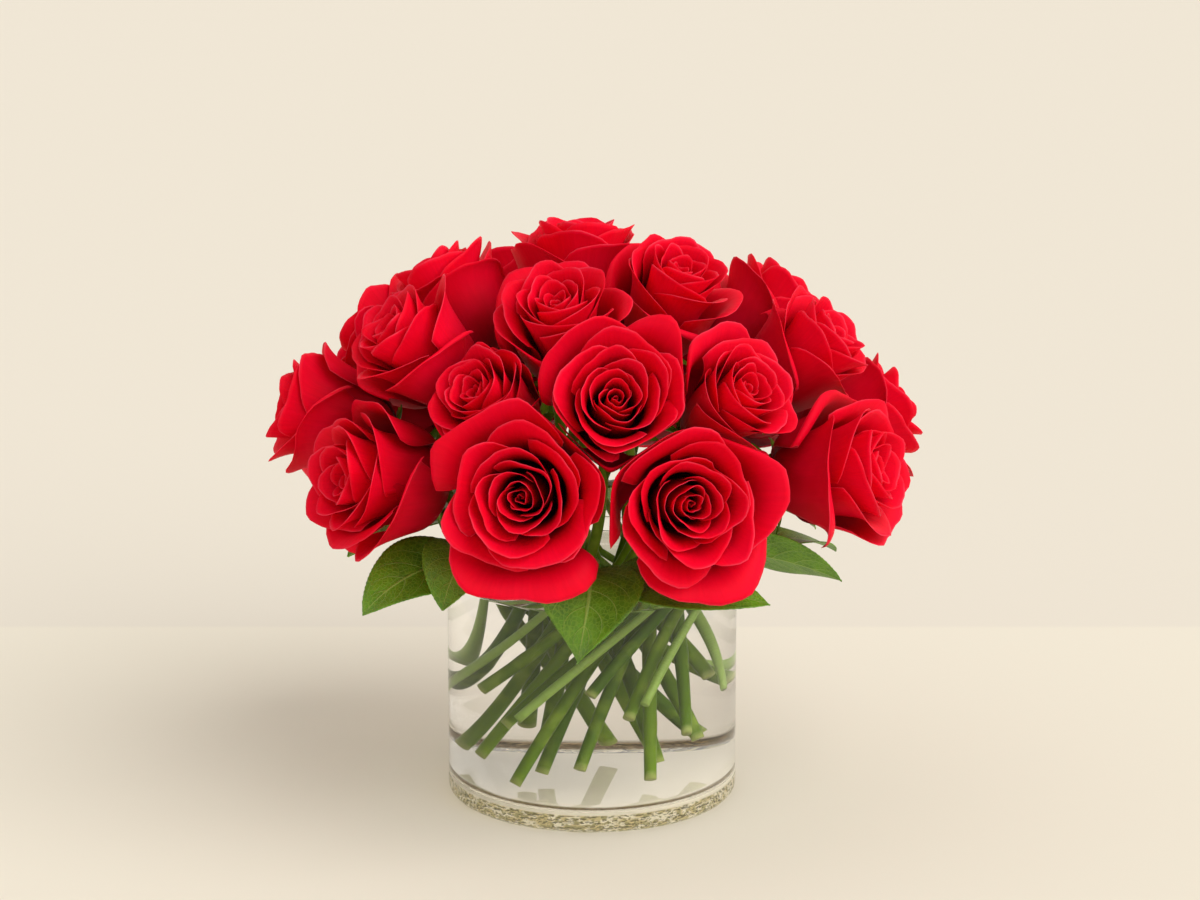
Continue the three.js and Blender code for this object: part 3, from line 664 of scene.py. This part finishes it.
class Place:
    """Where a rose sits: its base, its facing direction and two directions across it."""

    def __init__(self, mouth, azimuth, elevation, radius, ring, seed):
        turn, tilt = math.radians(azimuth), math.radians(elevation)
        depth = bloom_depth(radius)
        self.facing = outward(turn) * math.cos(tilt) + np.array([0.0, 0.0, math.sin(tilt)])
        self.right = unit(np.cross(self.facing, (0.0, 0.0, 1.0)))
        self.over = np.cross(self.facing, self.right)
        self.base = np.array(mouth, float) - self.facing * depth
        self.centre = np.array(mouth, float) - self.facing * CROWD["centre"] * depth
        self.wide = radius / BLOOM["radius"]
        self.deep = depth / BLOOM["depth"]
        self.radius = radius
        self.ring = RINGS[ring]
        self.seed = seed

    def planes(self, places):
        """The planes between this bloom and its neighbours, as directions and distances."""
        found = []
        for other in places:
            apart = np.linalg.norm(other.centre - self.centre)
            if other is self or apart >= CROWD["reach"]:
                continue
            towards = (other.centre - self.centre) / apart
            share = apart / 2 + CROWD["weight"] * (self.radius**2 - other.radius**2) / (2 * apart)
            found.append((towards, towards.dot(self.centre) + share))
        return found

    def put(self, points, planes):
        """From the bloom's own frame to its place, bent clear of its neighbours."""
        x, y, z = (points[..., k, None] for k in range(3))
        placed = (
            self.base
            + self.right * x * self.wide
            + self.over * y * self.wide
            + self.facing * z * self.deep
        )
        tuck = TUCK["share"] * smooth(points[..., 2] / TUCK["rise"])
        return bend_clear(placed, planes, self.facing, tuck[..., None])


def bend_clear(points, planes, facing, tuck):
    """Moves points back from the planes, softly, and tucks them down between the two blooms."""
    clear = CROWD["clear"]
    for depth, down in ((CROWD["soft"], tuck), (TUCK["crease"], 0.0)):
        for towards, limit in planes:
            room = limit - points @ towards
            kept = clear + (depth - clear) * np.exp(np.minimum(room - depth, 0) / (depth - clear))
            moved = np.where(room < depth, room - kept, 0.0)[..., None]
            points = points + moved * (towards + down * (facing - towards * facing.dot(towards)))
    return points


def petal_profiles(age, length, lip):
    """The middle lines of a petal, one for each length: distance from the axis and height."""
    s = np.linspace(0, 1, PROFILE_STEPS + 1)
    opened = age**1.25
    foot = math.radians(LEAN["foot"][0] + LEAN["foot"][1] * opened)
    belly = math.radians(LEAN["belly"][0] + LEAN["belly"][1] * opened)
    edge_lean = LEAN["edge"][0] + LEAN["edge"][1] * age + LEAN["outer_edge"] * age**2.4
    edge = np.radians(edge_lean) * lip[:, None]
    low = foot + (belly - foot) * ramp(s, 0.0, 0.42)
    lean = low + (edge - belly) * ramp(s, 0.62, 0.4) ** 1.15
    step = length[:, None] / PROFILE_STEPS
    start = np.zeros((len(length), 1))
    out = np.cumsum((np.sin(lean[:, 1:]) + np.sin(lean[:, :-1])) / 2 * step, axis=1)
    up = np.cumsum((np.cos(lean[:, 1:]) + np.cos(lean[:, :-1])) / 2 * step, axis=1)
    return 1 + 6 * opened + np.hstack([start, out]), np.hstack([start, up])


def petal_grid(index, spin, draw):
    """One petal in the bloom's own frame, with the values that its material reads.

    u runs across it from -1 to 1 and v from its root (0) to its edge (1). Each petal winds
    outwards, so its leading side (u = 1) lies over the next one and its other side under it.
    """
    age = index / (BLOOM["petals"] - 1)
    middle = math.sin(math.pi * min(1, age * 0.9))
    length = PETAL["length"] + PETAL["middle_gain"] * middle + PETAL["outer_gain"] * age
    half_angle = math.radians(PETAL["half_angle"] - PETAL["half_angle_loss"] * math.sqrt(age))
    turn = spin + index * GOLDEN_ANGLE + (next(draw) - 0.5) * 0.2
    lip = 1 + (next(draw) - 0.5) * 0.5
    point = 0.4 + 0.6 * next(draw)
    wave = next(draw) * WAVE_TURN
    ripple = next(draw) * WAVE_TURN
    last = float(ramp(age, LOOSE["from"], LOOSE["over"]))

    # The middle line of each column: its leading side rolls further back, and its edge is round
    # with a small point in the middle.
    u = np.linspace(-1, 1, PETAL_MESH["columns"] + 1)
    v = np.linspace(0, 1, PETAL_MESH["rows"] + 1) ** PETAL_MESH["row_power"]
    roll = 0.72 + np.abs(u) ** 1.5 * np.where(u > 0, 0.1 + 0.45 * last, -0.4)
    rounded = 1 - (0.05 + 0.2 * age) * np.abs(u) ** 2.8
    outline = rounded + (0.010 + 0.016 * age) * point * np.exp(-((u / 0.26) ** 2))
    out, up = petal_profiles(age, length * outline, lip * roll)
    steps = np.linspace(0, 1, PROFILE_STEPS + 1)
    radius = np.stack([np.interp(v, steps, line) for line in out], 1)
    height = np.stack([np.interp(v, steps, line) for line in up], 1)

    # Narrow at the root and full from two thirds up. The last petals stand off the bloom, and the
    # leading side stands off the next petal.
    across, rise = np.meshgrid(u, v)
    along = rise * outline
    full = 0.22 + 0.78 * np.sin(np.minimum(1, along / 0.66) * math.pi / 2)
    width = full * (1 - 0.1 * ramp(along, 0.8, 0.2))
    radius = radius + LOOSE["by"] * last * ramp(rise, 0.0, 0.4)
    radius = radius + (0.35 + 1.5 * age) * across * ramp(along, 0.0, 0.5)
    radius = radius + (0.3 * age + 2.5 * last) * ramp(across, 0.7, 0.3) * ramp(rise, 0.4, 0.5)

    # Waves that grow towards the edge, with a fine crimp along the rim.
    swing = BLOOM["ruffle"] * (0.22 + 2 * age**1.2) * ramp(rise, 0.45, 0.55)
    waves = np.sin(1.6 * across * math.pi + wave) + 0.5 * np.sin(5.2 * across + ripple + 3 * along)
    crimp = 0.16 * np.sin(17 * across + 5 * wave) * ramp(rise, 0.8, 0.2)
    radius = radius + 0.9 * swing * (waves + crimp)
    height = height + 0.6 * swing * (waves + crimp)

    sweep = half_angle * across * width
    angle = turn + sweep
    grid = np.stack([radius * np.cos(angle), radius * np.sin(angle), height], 2)
    look = vectors(rise, np.abs(across), 0.0)
    grain = vectors(sweep * GRAIN["width"], length * along, index * GRAIN["petal"])
    return grid, look, grain * METRES


def build_bloom(place, planes, number, material):
    shape = Shape()
    draw = draws(place.seed)
    spin = next(draw) * 2 * math.pi
    share = np.linspace(0, 1, PETAL_MESH["rows"] + 1) ** 2
    thickness = lerp(PETAL_MESH["thick"], PETAL_MESH["thin"], share)[:, None]
    for index in range(BLOOM["petals"]):
        grid, look, grain = petal_grid(index, spin, draw)
        grain = grain + number * GRAIN["bloom"]
        sheet(shape, place.put(grid, planes), thickness, petal=look, grain=grain)
    name = f"bloom_{number + 1:02d}"
    shape.build(name, material, "petal", f"rose_{name}")


# ---------------------------------------------------------------- stems
def line_point(ring, azimuth, height):
    """A point at a height on the straight line of a stem that passes the waist at an azimuth."""
    sideways = outward(azimuth + math.pi / 2) * ring["slope"] * (height - WAIST)
    point = outward(azimuth) * ring["waist"] + sideways
    point[2] = height
    return point


def waist_azimuth(ring, azimuth, height):
    """Where a stem's line passes the waist, from its azimuth at a height."""
    return azimuth - math.atan(ring["slope"] * (height - WAIST) / ring["waist"])


def cut_height(ring, index):
    return lerp(*ring["cut"], (index * CUT_STEP) % 1)


def sepal(shape, root, out, facing, planes, turn):
    """A narrow pointed sepal that leaves the receptacle and curls back at its tip."""
    share = np.linspace(0, 1, SEPAL_MESH["rows"] + 1)
    length = SEPAL["length"] * (0.9 + 0.2 * turn)
    curl = length * (0.22 * share - 0.42 * share**2)
    path = root + np.outer(share * length, out) + np.outer(curl, facing)
    taper = np.sin(math.pi * (0.16 + 0.84 * share) ** 0.6) ** 0.9
    half = SEPAL["width"] * taper + SEPAL["tip"]
    side = unit(np.cross(out, facing))
    edges = np.linspace(-1, 1, SEPAL_MESH["columns"] + 1)
    flat = path[:, None, :] + side * (half[:, None] * edges)[..., None]
    cupped = flat + facing * (0.3 * half[:, None] * edges**2)[..., None]
    grid = bend_clear(cupped, planes, facing, 0.0)
    sheet(shape, grid, SEPAL["thickness"], stem=(SEPAL_PALENESS, 0.0, 0.0))


def build_stem(place, planes, number, material):
    """Straight from its cut end to the bend, then curving up into the receptacle and sepals."""
    shape = Shape()
    draw = draws(STEM_SEED + number)
    ring = place.ring
    seat = place.base - place.facing * GAP
    azimuth = math.atan2(seat[0], -seat[1]) - math.radians(ring["turn"])
    waist = waist_azimuth(ring, azimuth, BEND)
    end = line_point(ring, waist, cut_height(ring, number))
    bend = line_point(ring, waist, BEND)
    rise = unit(bend - end)
    neck = seat - place.facing * STEM["cup"]
    pull = np.linalg.norm(neck - bend) * STEM["pull"]

    share = np.linspace(0, 1, STEM_RINGS["straight"], endpoint=False)
    straight = end + np.outer(share, bend - end)
    curve_share = np.linspace(0, 1, STEM_RINGS["curve"])
    curve = bezier([bend, bend + rise * pull, neck - place.facing * pull, neck], curve_share)
    cup = [seat - place.facing * STEM["cup"] * below for below, _ in RECEPTACLE]
    path = np.vstack([straight, curve, cup])

    from_joint = np.arange(len(straight)) - JOINT["first"] - JOINT["range"] * next(draw)
    joint = 1 + JOINT["swell"] * np.exp(-(from_joint**2) / JOINT["spread"])
    curve_radii = lerp(STEM["radius"], STEM["neck"], curve_share)
    cup_radii = [radius for _, radius in RECEPTACLE]
    radii = np.concatenate([STEM["radius"] * joint, curve_radii, cup_radii])
    look = np.zeros((len(path), 3))
    look[:, 0] = STEM_PALENESS["least"] + STEM_PALENESS["range"] * next(draw)
    look[0, 1] = 1.0
    tube(shape, path, radii, STEM["sides"], stem=look)

    for k in range(SEPAL["count"]):
        angle = 2 * math.pi * (k + 0.3 * next(draw)) / SEPAL["count"]
        out = place.right * math.cos(angle) + place.over * math.sin(angle)
        root = seat - place.facing * SEPAL_ROOT["down"] + out * SEPAL_ROOT["out"]
        sepal(shape, root, out, place.facing, planes, next(draw))
    name = f"stem_{number + 1:02d}"
    shape.build(name, material, "stem", f"rose_{name}")


# ---------------------------------------------------------------- leafy sprigs
def blade_width(s):
    """The width of a leaf's blade along its midrib, as a share of its greatest."""
    blade = np.maximum(0.0, (s - LEAF["petiole"]) / (1 - LEAF["petiole"]))
    return np.sin(math.pi * np.minimum(1, blade) ** 0.7).clip(0) ** 0.8


def leaf(shape, foot, bend, tip, half, roll, draw):
    """A leaf on a curved midrib, cupped along it, with a finely toothed edge and raised veins."""
    s = np.linspace(0, 1, LEAF_MESH["rows"] + 1)
    down = s[:, None]
    centre = bezier([foot, bend, tip], s)
    along = unit(np.gradient(centre, axis=0))
    flat = unit(np.cross(along, (0.0, 0.0, 1.0)))
    upright = np.cross(flat, along)
    turn = math.radians(roll)
    side = flat * math.cos(turn) - upright * math.sin(turn)
    over = upright * math.cos(turn) + flat * math.sin(turn)
    length = np.linalg.norm(np.diff(centre, axis=0), axis=1).sum()

    # The blade's half width, with teeth on its edge only.
    edge = np.linspace(-1, 1, LEAF_MESH["columns"] + 1)
    wide = np.sign(edge) * np.abs(edge) ** 0.85
    saw = (s * TEETH["count"] * length / TEETH["over"]) % 1
    toothed = ramp(s - LEAF["petiole"], 0.04, 0.06)
    tooth = TEETH["height"] * saw * toothed * smooth((1.02 - s) / 0.1)
    reach = np.maximum(LEAF["stalk"] * (1 - 0.6 * s), half * blade_width(s))
    at_edge = ramp(np.abs(edge), 0.86, 0.14)
    offset = reach[:, None] * wide + tooth[:, None] * np.sign(edge) * at_edge

    # Its height: cupped, swaying at the edge and puckered between the side veins.
    phase = next(draw) * WAVE_TURN
    sway = 0.045 * half * np.sin(7 * down + phase + 1.2 * np.sign(edge)) * edge**2
    branch = SIDE_VEINS * (down - 0.17 * np.abs(wide) - 0.16 * np.abs(wide) ** 2.4)
    ridge = np.abs((branch % 1) - 0.5) * 2
    off_rib = ramp(np.abs(edge), 0.0, 0.15)
    pucker = -0.35 * ramp(ridge, 0.55, 0.45) * off_rib * (1 - edge**4)
    lift = LEAF["cup"] * np.abs(offset) + sway + pucker * blade_width(s)[:, None]

    sideways = side[:, None, :] * offset[..., None]
    grid = centre[:, None, :] + sideways + over[:, None, :] * lift[..., None]
    look = vectors(edge, branch, 0.0)
    grain = vectors(offset, down * length, GRAIN["leaf"] * phase)
    sheet(shape, grid, LEAF["thickness"], leaf=look, grain=grain * METRES)


def build_sprig(azimuth, leaves, number, material):
    """A straight tapering stalk and its leaves."""
    shape = Shape()
    draw = draws(LEAF_SEED + number)
    waist = waist_azimuth(SPRIG_RING, math.radians(azimuth), SPRIG["top"])
    end = line_point(SPRIG_RING, waist, cut_height(SPRIG_RING, number))
    top = line_point(SPRIG_RING, waist, SPRIG["top"])
    path = end + np.outer(np.linspace(0, 1, SPRIG["rings"]), top - end)
    radii = np.linspace(SPRIG["radius"], SPRIG["radius"] * SPRIG["taper"], SPRIG["rings"])
    look = np.tile(MIDRIB, (SPRIG["rings"], 1))
    tube(shape, path, radii, SPRIG["sides"], leaf=look, grain=path * METRES)
    for start, bend, tip, half, roll in leaves:
        foot = line_point(SPRIG_RING, waist, start)
        leaf(shape, foot, bend, tip, half, roll, draw)
    name = f"sprig_{number + 1:02d}"
    shape.build(name, material, "leaf", f"leaf_{name}")


# ---------------------------------------------------------------- ground, light and camera
def build_ground():
    """A wide flat ground in two close tones, the further one behind the vase."""
    graph = Graph("table")
    _, depth, _ = graph.parts(graph.position())
    change, blur = GROUND["change"], GROUND["blur"]
    behind = graph.range(depth, change - blur, change + blur)
    graph.set(
        Base_Color=graph.mix(behind, GROUND_TONES["near"], GROUND_TONES["far"]),
        Roughness=0.75,
        Specular_IOR_Level=0.15,
    )
    reach = GROUND["reach"]
    corners = [(-reach, -reach, 0), (reach, -reach, 0), (reach, reach, 0), (-reach, reach, 0)]
    mesh = bpy.data.meshes.new("table")
    mesh.from_pydata(corners, [], [(0, 1, 2, 3)])
    mesh.materials.append(graph.material)
    table = bpy.data.objects.new("table", mesh)
    bpy.context.scene.collection.objects.link(table)


def build_key_light():
    """A broad soft light from one direction, the same everywhere, so that the ground is even."""
    lamp = bpy.data.lights.new("key", "SUN")
    lamp.angle = math.radians(KEY_LIGHT["spread"])
    lamp.energy = KEY_LIGHT["strength"]
    lamp.color = KEY_LIGHT["colour"]
    holder = bpy.data.objects.new("key", lamp)
    holder.rotation_euler = Vector(KEY_LIGHT["from"]).to_track_quat("Z", "Y").to_euler()
    bpy.context.scene.collection.objects.link(holder)


def build_sky():
    """A warm sky that darkens upwards and is weaker in front of the vase."""
    world = bpy.data.worlds.new("studio")
    bpy.context.scene.world = world
    world.use_nodes = True
    tree = world.node_tree
    sky = tree.nodes["Background"]
    place = tree.nodes.new("ShaderNodeTexCoord")
    direction = tree.nodes.new("ShaderNodeSeparateXYZ")
    tone = tree.nodes.new("ShaderNodeValToRGB")
    strength = tree.nodes.new("ShaderNodeMapRange")
    for element, (height, colour) in zip(tone.color_ramp.elements, SKY):
        element.position = height
        element.color = colour
    for key, limit in SKY_STRENGTH.items():
        strength.inputs[key].default_value = limit
    tree.links.new(place.outputs["Generated"], direction.inputs[0])
    tree.links.new(direction.outputs[2], tone.inputs[0])
    tree.links.new(tone.outputs[0], sky.inputs["Color"])
    tree.links.new(direction.outputs[1], strength.inputs["Value"])
    tree.links.new(strength.outputs[0], sky.inputs["Strength"])
    bpy.context.scene.view_settings.view_transform = "Standard"


def build_camera():
    lens = bpy.data.cameras.new("camera")
    lens.sensor_width = SENSOR_WIDTH
    lens.lens = CAMERA["focal_px"] / CAMERA["frame_px"] * SENSOR_WIDTH
    lens.clip_end = SIGHT
    camera = bpy.data.objects.new("camera", lens)
    camera.location = CAMERA["at"]
    camera.rotation_euler = (math.radians(90 - CAMERA["pitch"]), 0, 0)
    bpy.context.scene.collection.objects.link(camera)
    bpy.context.scene.camera = camera


def main():
    build_camera()
    petal_look, leaf_look, stem_look = petal_material(), leaf_material(), stem_material()
    build_vase(glass_material())
    build_water(see_through("water", **WATER).material)
    places = [Place(*rose) for rose in ROSES]
    for number, place in enumerate(places):
        planes = place.planes(places)
        build_bloom(place, planes, number, petal_look)
        build_stem(place, planes, number, stem_look)
    for number, (azimuth, *leaves) in enumerate(SPRIGS):
        build_sprig(azimuth, leaves, number, leaf_look)
    build_ground()
    build_key_light()
    build_sky()


main()
